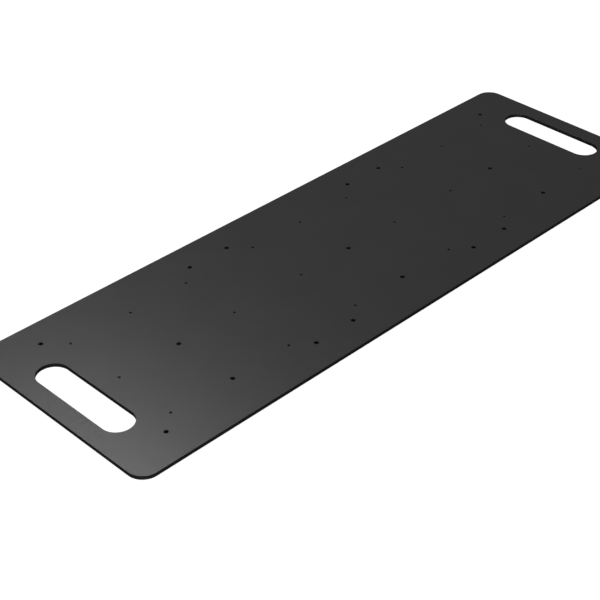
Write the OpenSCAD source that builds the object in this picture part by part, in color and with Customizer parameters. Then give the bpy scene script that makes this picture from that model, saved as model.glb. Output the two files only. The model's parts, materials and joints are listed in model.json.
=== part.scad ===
// Pedalboard base: one flat sheet with a hand slot at each end and three bays of mounting holes.
// The origin is at the middle of the underside. +X runs along the length, +Y towards the back
// edge and +Z up out of the top face.

/* [Sheet] */
// Length of the sheet
sheet_l = 930; // [920:5:1000]
// Width of the sheet
sheet_w = 300; // [280:5:340]
// Thickness of the sheet
sheet_t = 5; // [3:0.5:8]
// Radius of the four outer corners
corner_r = 21; // [5:0.5:30]

/* [Hand slots] */
// Overall length of a hand slot, measured across the sheet
slot_l = 153; // [120:1:170]
// Width of a hand slot, which is also the diameter of its round ends
slot_w = 40.5; // [30:0.5:42]
// Material left between a hand slot and the end of the sheet
slot_margin = 25; // [18:1:28]

/* [Hole sizes] */
// Diameter of the clearance holes for the large bolts
bolt_hole_d = 5.8; // [5:0.1:7]
// Diameter of the clearance holes for the small screws
screw_hole_d = 3.2; // [2.5:0.1:4]

/* [End columns] */
// Distance of the outermost bolt holes from the end of the sheet
end_bolt_inset = 70; // [68:1:72]
// Distance of the outermost screw holes from the end of the sheet
end_screw_inset = 94.5; // [93:0.5:97]
// Rows of the bolt holes in the left end column, back then front
end_bolt_rows = [112, -108]; // [-115:0.5:115]
// Rows of the screw holes in the left end column, back to front
end_screw_rows = [88, 0, -87]; // [-95:0.5:95]

/* [Inner columns] */
// Columns of bolt hole pairs on both sides of the two gaps between the bays
bolt_columns = [-169, -107, 114.5, 176]; // [-175:0.5:180]
// Rows of a bolt hole pair, back then front
bolt_rows = [109, -110.5]; // [-115:0.5:115]
// Columns of three screw holes, just inside the bolt hole pairs
screw_columns = [-195, -83, 88.5, 200]; // [-200:0.5:205]
// Rows of a screw hole column, back to front
screw_rows = [86.5, 0, -91.5]; // [-95:0.5:95]

/* [Middle columns] */
// Column down the middle of each bay: one screw hole at the back, then two bolt holes
middle_columns = [-282.5, 1.5, 283.5]; // [-285:0.5:290]
// Row of the screw hole in a middle column
middle_screw_row = 86.5; // [80:0.5:95]
// Rows of the two bolt holes in a middle column
middle_bolt_rows = [0, -91]; // [-95:0.5:5]

/* [Hidden] */
$fn = 96;
cut = 1;
end_bolt_x = sheet_l / 2 - end_bolt_inset;
end_screw_x = sheet_l / 2 - end_screw_inset;
slot_r = slot_w / 2;
slot_x = sheet_l / 2 - slot_margin - slot_r;
black = [0.13, 0.13, 0.13];

// Every crossing of some columns with some rows
function grid(columns, rows) = [for (x = columns, y = rows) [x, y]];

// The same points turned half a turn about the middle of the sheet
function turned(points) = [for (p = points) -p];

left_end_bolts = grid([-end_bolt_x], end_bolt_rows);
left_end_screws = grid([-end_screw_x], end_screw_rows);
bolt_holes = concat(
    left_end_bolts,
    turned(left_end_bolts),
    grid(bolt_columns, bolt_rows),
    grid(middle_columns, middle_bolt_rows)
);
screw_holes = concat(
    left_end_screws,
    turned(left_end_screws),
    grid(screw_columns, screw_rows),
    grid(middle_columns, [middle_screw_row])
);

// Rectangle with round corners, centred
module rounded_rectangle(l, w, r) {
    square([l - 2 * r, w], center = true);
    square([l, w - 2 * r], center = true);
    for (x = [-1, 1], y = [-1, 1])
        translate([x * (l / 2 - r), y * (w / 2 - r)]) circle(r);
}

// Slot with two round ends that runs along Y, centred
module hand_slot() {
    square([slot_w, slot_l - slot_w], center = true);
    for (end = [-1, 1])
        translate([0, end * (slot_l / 2 - slot_r)]) circle(slot_r);
}

// Round holes of one size, cut right through the sheet
module drilled(points, d) {
    for (p = points)
        translate([p.x, p.y, -cut]) cylinder(d = d, h = sheet_t + 2 * cut);
}

module plate() {
    color(black)
        difference() {
            linear_extrude(sheet_t)
                difference() {
                    rounded_rectangle(sheet_l, sheet_w, corner_r);
                    for (side = [-1, 1])
                        translate([side * slot_x, 0]) hand_slot();
                }
            drilled(bolt_holes, bolt_hole_d);
            drilled(screw_holes, screw_hole_d);
        }
}

plate();
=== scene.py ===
"""Looks of the pedalboard base: one sheet with its edges rounded off and a black satin powder coat."""
import json
import math

import bpy
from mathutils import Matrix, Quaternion, Vector


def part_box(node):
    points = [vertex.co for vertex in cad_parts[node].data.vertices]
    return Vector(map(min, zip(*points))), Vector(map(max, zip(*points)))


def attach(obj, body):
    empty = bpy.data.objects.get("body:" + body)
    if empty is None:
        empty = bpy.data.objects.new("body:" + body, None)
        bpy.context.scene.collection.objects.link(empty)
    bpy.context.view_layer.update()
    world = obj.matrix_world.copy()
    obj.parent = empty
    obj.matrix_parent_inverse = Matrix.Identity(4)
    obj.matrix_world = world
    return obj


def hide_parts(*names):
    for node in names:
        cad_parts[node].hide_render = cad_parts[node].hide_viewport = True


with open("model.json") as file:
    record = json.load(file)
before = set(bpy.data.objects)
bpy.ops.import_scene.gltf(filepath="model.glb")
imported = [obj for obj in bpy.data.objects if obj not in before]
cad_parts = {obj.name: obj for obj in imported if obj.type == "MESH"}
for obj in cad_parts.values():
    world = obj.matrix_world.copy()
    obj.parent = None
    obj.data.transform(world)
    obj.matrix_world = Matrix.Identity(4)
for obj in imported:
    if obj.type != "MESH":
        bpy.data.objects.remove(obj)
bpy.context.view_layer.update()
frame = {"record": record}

MM = 0.001

# The sheet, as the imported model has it
SHEET_LOW, SHEET_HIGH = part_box("plate")
SHEET_SIZE = SHEET_HIGH - SHEET_LOW
TOP = SHEET_HIGH.z
CORNER_RADIUS = 21 * MM
SLOT_LENGTH = 153 * MM
SLOT_WIDTH = 40.5 * MM
SLOT_MARGIN = 25 * MM
# Every edge is rounded in steps, next to a narrow ring that keeps the wall beside it flat
EDGE_ROUND = 0.1 * MM
EDGE_STEPS = 4
EDGE_HOLD = 0.1 * MM
SLOT_PLACE = SHEET_SIZE.x / 2 - SLOT_MARGIN - SLOT_WIDTH / 2
LOOP_POINTS = 96
HOLE_POINTS = 32

# The powder coat. A size is the width of a lump, and a depth is in millimetres
COAT_SHADE = 0.047
COAT_ROUGHNESS = 0.29
SHADE_CHANGE = 0.12
PEEL_SIZE = 2.4 * MM
PEEL_DEPTH = 0.032
GRIT_SIZE = 0.45 * MM
GRIT_DEPTH = 0.045
GRIT_SHADE = 1.4
GRIT_ROUGHNESS = 0.08
CLOUD_SIZE = 70 * MM
CLOUD_SHADE = 0.5
CLOUD_ROUGHNESS = 0.02
EDGE_BAND = 7 * MM
EDGE_POLISH = 0.006

# The upright marks that cutting leaves on the walls
MARK_SIZE = 0.7 * MM
MARK_DEPTH = 0.03
MARK_STRETCH = 25
WALL_ROUGHNESS = 0.05


# ---------------------------------------------------------------- node helpers

class Value:
    """A node socket that takes part in Python arithmetic by adding Math nodes."""

    def __init__(self, graph, socket):
        self.graph = graph
        self.socket = socket

    def maths(self, operation, first, second):
        return self.graph.add("ShaderNodeMath", {"operation": operation}, {0: first, 1: second})[0]

    def __add__(self, other):
        return self.maths("ADD", self, other)

    def __sub__(self, other):
        return self.maths("SUBTRACT", self, other)

    def __rsub__(self, other):
        return self.maths("SUBTRACT", other, self)

    def __mul__(self, other):
        return self.maths("MULTIPLY", self, other)

    def __pow__(self, other):
        return self.maths("POWER", self, other)

    def __abs__(self):
        return self.maths("ABSOLUTE", self, 0)

    __radd__ = __add__
    __rmul__ = __mul__


class Added:
    """A node in a graph, whose outputs are fetched by name or number as values."""

    def __init__(self, graph, node):
        self.graph = graph
        self.node = node

    def __getitem__(self, output):
        for socket in self.node.outputs:
            if socket.identifier == output:
                return Value(self.graph, socket)
        return Value(self.graph, self.node.outputs[output])


def grey(shade):
    return (shade, shade, shade, 1.0)


class Graph:
    """Adds nodes to one shader or geometry tree."""

    def __init__(self, tree):
        self.tree = tree

    def add(self, kind, settings=None, inputs=None):
        """Adds a node: its settings go first, then numbers, colours or links for its sockets."""
        node = self.tree.nodes.new(kind)
        for name, setting in (settings or {}).items():
            setattr(node, name, setting)
        for key, given in (inputs or {}).items():
            socket = self.find_input(node, key)
            for one in given if isinstance(given, list) else [given]:
                if isinstance(one, Value):
                    self.tree.links.new(one.socket, socket)
                else:
                    socket.default_value = one
        return Added(self, node)

    def find_input(self, node, key):
        """An input by number, by identifier or by name."""
        if isinstance(key, int):
            return node.inputs[key]
        for socket in node.inputs:
            if socket.identifier == key:
                return socket
        return node.inputs[key]


# ---------------------------------------------------------------- camera, floor and light

def make_camera():
    """The camera looks down at the left front corner, along the sheet."""
    place = Vector((-1.1518, -1.0637, 1.0272 + TOP))
    aim = Vector((-0.1222, -0.0371, TOP))
    roll = math.radians(0.053)
    data = bpy.data.cameras.new("camera")
    data.lens = 89.1
    data.sensor_width = 36.0
    camera = bpy.data.objects.new("camera", data)
    bpy.context.scene.collection.objects.link(camera)
    camera.location = place
    camera.rotation_mode = "QUATERNION"
    turned = (aim - place).to_track_quat("-Z", "Y")
    camera.rotation_quaternion = turned @ Quaternion((0, 0, 1), roll)
    bpy.context.scene.camera = camera


def make_floor():
    """A white floor that glows like a light table, and is clear from below so that the underside shows."""
    half = 20.0
    gap = 0.05 * MM
    mesh = bpy.data.meshes.new("floor")
    corners = [(-half, -half), (half, -half), (half, half), (-half, half)]
    mesh.from_pydata([(x, y, SHEET_LOW.z - gap) for x, y in corners], [], [(0, 1, 2, 3)])
    floor = bpy.data.objects.new("floor", mesh)
    bpy.context.scene.collection.objects.link(floor)
    material = bpy.data.materials.new("pale_floor")
    material.use_nodes = True
    material.node_tree.nodes.clear()
    graph = Graph(material.node_tree)
    white = graph.add("ShaderNodeBsdfPrincipled", None, {
        "Base Color": grey(0.08),
        "Roughness": 0.9,
        "Specular IOR Level": 0.0,
        "Emission Color": grey(1.0),
        "Emission Strength": 1.0,
    })
    clear = graph.add("ShaderNodeBsdfTransparent")
    underneath = graph.add("ShaderNodeNewGeometry")["Backfacing"]
    mixed = graph.add("ShaderNodeMixShader", None, {0: underneath, 1: white[0], 2: clear[0]})
    graph.add("ShaderNodeOutputMaterial", None, {"Surface": mixed[0]})
    mesh.materials.append(material)
    floor.visible_glossy = False
    floor.visible_diffuse = False
    floor.visible_shadow = False


def make_softbox(name, power, size, place):
    """A soft rectangular light that faces straight down."""
    data = bpy.data.lights.new(name, "AREA")
    data.energy = power
    data.shape = "RECTANGLE"
    data.size, data.size_y = size
    softbox = bpy.data.objects.new(name, data)
    bpy.context.scene.collection.objects.link(softbox)
    softbox.location = place
    softbox.visible_camera = False


def make_sun(name, strength, spread, azimuth, elevation):
    """A soft far light. Spread, azimuth and elevation are degrees, and azimuth turns from +X to +Y."""
    data = bpy.data.lights.new(name, "SUN")
    data.energy = strength
    data.angle = math.radians(spread)
    sun = bpy.data.objects.new(name, data)
    bpy.context.scene.collection.objects.link(sun)
    turn, lift = math.radians(azimuth), math.radians(elevation)
    towards = Vector((math.cos(turn) * math.cos(lift), math.sin(turn) * math.cos(lift), math.sin(lift)))
    sun.rotation_mode = "QUATERNION"
    sun.rotation_quaternion = towards.to_track_quat("Z", "Y")


def make_world():
    """A white room to the camera, which hardly lights the sheet."""
    world = bpy.data.worlds.new("studio")
    world.use_nodes = True
    world.node_tree.nodes.clear()
    graph = Graph(world.node_tree)
    path = graph.add("ShaderNodeLightPath")
    seen = graph.add("ShaderNodeBackground", None, {"Color": grey(1.0), "Strength": 1.0})
    fill = graph.add("ShaderNodeBackground", None, {"Color": grey(1.0), "Strength": 0.01})
    mixed = graph.add("ShaderNodeMixShader", None, {0: path["Is Camera Ray"], 1: fill[0], 2: seen[0]})
    graph.add("ShaderNodeOutputWorld", None, {"Surface": mixed[0]})
    bpy.context.scene.world = world


# ---------------------------------------------------------------- the coat

def make_noise(graph, place, size, detail):
    """Noise whose lumps are about this many metres wide, from 0 to 1 with its middle at 0.5."""
    return graph.add("ShaderNodeTexNoise", None,
                     {"Vector": place, "Scale": 1.0 / size, "Detail": detail, "Roughness": 0.5})["Fac"]


def make_edge_mask(graph, place):
    """1 along the outline and the hand slots, and 0 from EDGE_BAND inwards."""
    size = graph.add("ShaderNodeVectorMath", {"operation": "ABSOLUTE"}, {0: place})["Vector"]
    parts = graph.add("ShaderNodeSeparateXYZ", None, {"Vector": size})

    def beyond(value, limit):
        return graph.add("ShaderNodeMath", {"operation": "MAXIMUM"}, {0: value - limit, 1: 0.0})[0]

    corner_x = beyond(parts["X"], SHEET_SIZE.x / 2 - CORNER_RADIUS)
    corner_y = beyond(parts["Y"], SHEET_SIZE.y / 2 - CORNER_RADIUS)
    to_outline = CORNER_RADIUS - (corner_x ** 2 + corner_y ** 2) ** 0.5
    slot_x = parts["X"] - SLOT_PLACE
    slot_y = beyond(parts["Y"], SLOT_LENGTH / 2 - SLOT_WIDTH / 2)
    to_slot = (slot_x ** 2 + slot_y ** 2) ** 0.5 - SLOT_WIDTH / 2
    nearest = graph.add("ShaderNodeMath", {"operation": "MINIMUM"}, {0: to_outline, 1: to_slot})[0]
    return graph.add("ShaderNodeMapRange", {"clamp": True, "interpolation_type": "SMOOTHSTEP"}, {
        "Value": nearest, "From Min": 0.0, "From Max": EDGE_BAND, "To Min": 1.0, "To Max": 0.0,
    })["Result"]


def make_coat():
    """Black satin powder coat: orange peel, fine grit, and gloss that drifts and rises at the edges."""
    material = bpy.data.materials.new("black_powder_coat")
    material.use_nodes = True
    material.node_tree.nodes.clear()
    graph = Graph(material.node_tree)
    place = graph.add("ShaderNodeTexCoord")["Object"]
    peel = make_noise(graph, place, PEEL_SIZE, 1.5)
    grit = make_noise(graph, place, GRIT_SIZE, 1.0)
    cloud = make_noise(graph, place, CLOUD_SIZE, 3.0)
    edge = make_edge_mask(graph, place)

    # The coat doesn't quite fill the marks on the walls
    wall = graph.add("ShaderNodeAttribute",
                     {"attribute_type": "GEOMETRY", "attribute_name": "cut_wall"})["Fac"]
    drawn_out = graph.add("ShaderNodeMapping", {"vector_type": "POINT"},
                          {"Vector": place, "Scale": (1.0, 1.0, 1.0 / MARK_STRETCH)})["Vector"]
    marks = make_noise(graph, drawn_out, MARK_SIZE, 2.0)

    height = peel * PEEL_DEPTH + grit * GRIT_DEPTH + wall * marks * MARK_DEPTH
    bump = graph.add("ShaderNodeBump", None, {"Height": height, "Strength": 1.0, "Distance": MM})
    drift = cloud - 0.5
    grain = grit - 0.5
    colour = graph.add("ShaderNodeMix", {"data_type": "RGBA", "clamp_factor": True}, {
        "Factor_Float": 0.5 + drift * CLOUD_SHADE + grain * GRIT_SHADE,
        "A_Color": grey(COAT_SHADE * (1 - SHADE_CHANGE)),
        "B_Color": grey(COAT_SHADE * (1 + SHADE_CHANGE)),
    })["Result_Color"]
    roughness = COAT_ROUGHNESS + drift * CLOUD_ROUGHNESS + grain * GRIT_ROUGHNESS
    roughness = roughness - edge * EDGE_POLISH + wall * WALL_ROUGHNESS
    shader = graph.add("ShaderNodeBsdfPrincipled", None, {
        "Base Color": colour,
        "Roughness": roughness,
        "Normal": bump[0],
    })
    graph.add("ShaderNodeOutputMaterial", None, {"Surface": shader[0]})
    return material


# ---------------------------------------------------------------- the sheet

def read_holes():
    """(x, y): radius of every drilled hole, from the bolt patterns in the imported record."""
    holes = {}
    for mount in frame["record"]["mounts"]:
        if mount["kind"] != "bolt_pattern":
            continue
        x, y, _ = mount["pos_m"]
        size = mount["dims"]
        reach_x = size.get("spacing_x_mm", 0) / 2 * MM
        reach_y = size.get("spacing_y_mm", 0) / 2 * MM
        for side_x in (-1, 1):
            for side_y in (-1, 1):
                spot = (round(x + side_x * reach_x, 6), round(y + side_y * reach_y, 6))
                holes[spot] = size["hole_r_mm"] * MM
    return holes


def make_drilling_plan(holes):
    """Loose points at the holes' centres, which carry each hole's radius."""
    mesh = bpy.data.meshes.new("drilling_plan")
    mesh.from_pydata([(x, y, 0.0) for x, y in holes], [], [])
    radius = mesh.attributes.new("hole_radius", "FLOAT", "POINT")
    radius.data.foreach_set("value", list(holes.values()))
    plan = bpy.data.objects.new("drilling_plan", mesh)
    bpy.context.scene.collection.objects.link(plan)
    return plan


def round_loop(graph, points, radius, spread):
    """A circle whose four quarters are pulled apart by spread, drawn anticlockwise."""
    circle = graph.add("GeometryNodeCurvePrimitiveCircle", {"mode": "RADIUS"},
                       {"Resolution": points, "Radius": radius})
    half_step = graph.add("GeometryNodeTransform", None,
                          {"Geometry": circle["Curve"], "Rotation": (0, 0, math.pi / points)})
    position = graph.add("GeometryNodeInputPosition")["Position"]
    size = graph.add("ShaderNodeVectorMath", {"operation": "ABSOLUTE"}, {0: position})["Vector"]
    sign = graph.add("ShaderNodeVectorMath", {"operation": "DIVIDE"}, {0: position, 1: size})["Vector"]
    push = graph.add("ShaderNodeVectorMath", {"operation": "MULTIPLY"}, {0: sign, 1: spread})["Vector"]
    return graph.add("GeometryNodeSetPosition", None,
                     {"Geometry": half_step[0], "Offset": push})["Geometry"]


def vector(graph, x=0.0, y=0.0, z=0.0):
    return graph.add("ShaderNodeCombineXYZ", None, {"X": x, "Y": y, "Z": z})["Vector"]


def build_sheet_tree():
    """Geometry Nodes that cut the sheet out, drill it and round every edge."""
    tree = bpy.data.node_groups.new("cut_sheet", "GeometryNodeTree")
    sockets = {}
    for name, kind in (("Plan", "Geometry"), ("Length", "Float"), ("Width", "Float"),
                       ("Thickness", "Float"), ("Corner radius", "Float"), ("Slot length", "Float"),
                       ("Slot width", "Float"), ("Slot place", "Float"), ("Edge round", "Float"),
                       ("Coat", "Material")):
        item = tree.interface.new_socket(name=name, in_out="INPUT", socket_type="NodeSocket" + kind)
        sockets[name] = item.identifier
    tree.interface.new_socket(name="Sheet", in_out="OUTPUT", socket_type="NodeSocketGeometry")
    graph = Graph(tree)
    given = graph.add("NodeGroupInput")

    # The outline and the loops that are cut out of it
    corner = given["Corner radius"]
    spread = vector(graph, given["Length"] * 0.5 - corner, given["Width"] * 0.5 - corner)
    outline = round_loop(graph, LOOP_POINTS, corner, spread)
    slot_end = given["Slot width"] * 0.5
    slot_spread = vector(graph, 0.0, given["Slot length"] * 0.5 - slot_end)
    slot = round_loop(graph, LOOP_POINTS, slot_end, slot_spread)
    slot_spots = graph.add("GeometryNodeMeshLine", {"mode": "END_POINTS"}, {
        "Count": 2,
        "Start Location": vector(graph, given["Slot place"] * -1.0),
        "Offset": vector(graph, given["Slot place"]),
    })["Mesh"]
    slots = graph.add("GeometryNodeInstanceOnPoints", None, {"Points": slot_spots, "Instance": slot})[0]
    hole = round_loop(graph, HOLE_POINTS, 1.0, (0.0, 0.0, 0.0))
    radius = graph.add("GeometryNodeInputNamedAttribute", {"data_type": "FLOAT"},
                       {"Name": "hole_radius"})[0]
    holes = graph.add("GeometryNodeInstanceOnPoints", None,
                      {"Points": given["Plan"], "Instance": hole, "Scale": radius})[0]
    cut_outs = graph.add("GeometryNodeJoinGeometry", None, {"Geometry": [slots, holes]})[0]
    cut_outs = graph.add("GeometryNodeRealizeInstances", None, {"Geometry": cut_outs})[0]
    cut_outs = graph.add("GeometryNodeReverseCurve", None, {"Curve": cut_outs})[0]
    loops = graph.add("GeometryNodeJoinGeometry", None, {"Geometry": [outline, cut_outs]})[0]

    # Each point of a loop knows which way leads out of the metal
    points = graph.add("GeometryNodeCurveToPoints", {"mode": "EVALUATED"}, {"Curve": loops})
    outward = graph.add("ShaderNodeVectorMath", {"operation": "CROSS_PRODUCT"},
                        {0: points["Tangent"], 1: (0.0, 0.0, 1.0)})["Vector"]
    face = graph.add("GeometryNodeFillCurve", {"mode": "NGONS"}, {"Curve": loops})[0]
    nearest = graph.add("GeometryNodeSampleNearest", {"domain": "POINT"},
                        {"Geometry": points["Points"]})[0]
    sampled = graph.add("GeometryNodeSampleIndex", {"data_type": "FLOAT_VECTOR", "domain": "POINT"},
                        {"Geometry": points["Points"], "Value": outward, "Index": nearest})[0]
    face = graph.add("GeometryNodeStoreNamedAttribute", {"data_type": "FLOAT_VECTOR", "domain": "POINT"},
                     {"Geometry": face, "Name": "outward", "Value": sampled})[0]
    way_out = graph.add("GeometryNodeInputNamedAttribute", {"data_type": "FLOAT_VECTOR"},
                        {"Name": "outward"})[0]

    def move(geometry, chosen, distance):
        """Moves the chosen points out of the metal by a distance."""
        offset = graph.add("ShaderNodeVectorMath", {"operation": "SCALE"},
                           {0: way_out, "Scale": distance})[0]
        return graph.add("GeometryNodeSetPosition", None,
                         {"Geometry": geometry, "Selection": chosen, "Offset": offset})[0]

    # The underside starts inside the rounding, then the sheet is drawn up step by step
    edge = given["Edge round"]
    start = move(face, True, edge * -1.0)
    underside = graph.add("GeometryNodeFlipFaces", None, {"Mesh": start})[0]
    angles = [math.pi / 2 * step / EDGE_STEPS for step in range(EDGE_STEPS + 1)]
    lower = [(math.cos(a) - math.cos(b), math.sin(b) - math.sin(a)) for a, b in zip(angles, angles[1:])]
    rises = [(edge * up, edge * out) for up, out in lower]
    rises += [(EDGE_HOLD, 0.0), (given["Thickness"] - edge * 2.0 - 2 * EDGE_HOLD, 0.0), (EDGE_HOLD, 0.0)]
    rises += [(edge * out, edge * -up) for up, out in reversed(lower)]
    body, top = start, True
    for up, out in rises:
        raised = graph.add("GeometryNodeExtrudeMesh", {"mode": "FACES"}, {
            "Mesh": body,
            "Selection": top,
            "Offset": (0.0, 0.0, 1.0),
            "Offset Scale": up,
            "Individual": False,
        })
        top = raised["Top"]
        body = move(raised["Mesh"], top, out)
    sheet = graph.add("GeometryNodeJoinGeometry", None, {"Geometry": [underside, body]})[0]
    sheet = graph.add("GeometryNodeMergeByDistance", None, {"Geometry": sheet, "Distance": 1e-6})[0]
    normal = graph.add("GeometryNodeInputNormal")["Normal"]
    upright = graph.add("ShaderNodeSeparateXYZ", None, {"Vector": normal})["Z"]
    curved = graph.add("FunctionNodeCompare", {"data_type": "FLOAT", "operation": "LESS_THAN"},
                       {"A": abs(upright), "B": 0.999})["Result"]
    sheet = graph.add("GeometryNodeSetShadeSmooth", {"domain": "FACE"},
                      {"Geometry": sheet, "Shade Smooth": curved})[0]
    cut_wall = graph.add("FunctionNodeCompare", {"data_type": "FLOAT", "operation": "LESS_THAN"},
                         {"A": abs(upright), "B": 0.1})["Result"]
    sheet = graph.add("GeometryNodeStoreNamedAttribute", {"data_type": "FLOAT", "domain": "FACE"},
                      {"Geometry": sheet, "Name": "cut_wall", "Value": cut_wall})[0]
    sheet = graph.add("GeometryNodeRemoveAttribute", None, {"Geometry": sheet, "Name": "outward"})[0]
    sheet = graph.add("GeometryNodeRealizeInstances", None, {"Geometry": sheet})[0]
    sheet = graph.add("GeometryNodeSetMaterial", None, {"Geometry": sheet, "Material": given["Coat"]})[0]
    graph.add("NodeGroupOutput", None, {"Sheet": sheet})
    return tree, sockets


def make_plate(coat):
    plan = make_drilling_plan(read_holes())
    tree, sockets = build_sheet_tree()
    modifier = plan.modifiers.new("cut_sheet", "NODES")
    modifier.node_group = tree
    for name, value in (("Length", SHEET_SIZE.x), ("Width", SHEET_SIZE.y), ("Thickness", SHEET_SIZE.z),
                        ("Corner radius", CORNER_RADIUS), ("Slot length", SLOT_LENGTH),
                        ("Slot width", SLOT_WIDTH), ("Slot place", SLOT_PLACE),
                        ("Edge round", EDGE_ROUND), ("Coat", coat)):
        modifier[sockets[name]] = value
    seen = plan.evaluated_get(bpy.context.evaluated_depsgraph_get())
    mesh = bpy.data.meshes.new_from_object(seen)
    mesh.name = "deck_plate"
    plan.modifiers.remove(modifier)
    bpy.data.objects.remove(plan)
    plate = bpy.data.objects.new("deck_plate", mesh)
    bpy.context.scene.collection.objects.link(plate)
    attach(plate, "root")
    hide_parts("plate")


make_camera()
make_world()
make_softbox("overhead", power=38.2, size=(0.6, 2.39), place=(0.453, 0.746, 2.041))
make_sun("fill", strength=0.6, spread=40.0, azimuth=222.0, elevation=4.0)
make_sun("under", strength=2.0, spread=10.0, azimuth=0.0, elevation=-90.0)
make_floor()
make_plate(make_coat())
bpy.context.scene.view_settings.view_transform = "Standard"
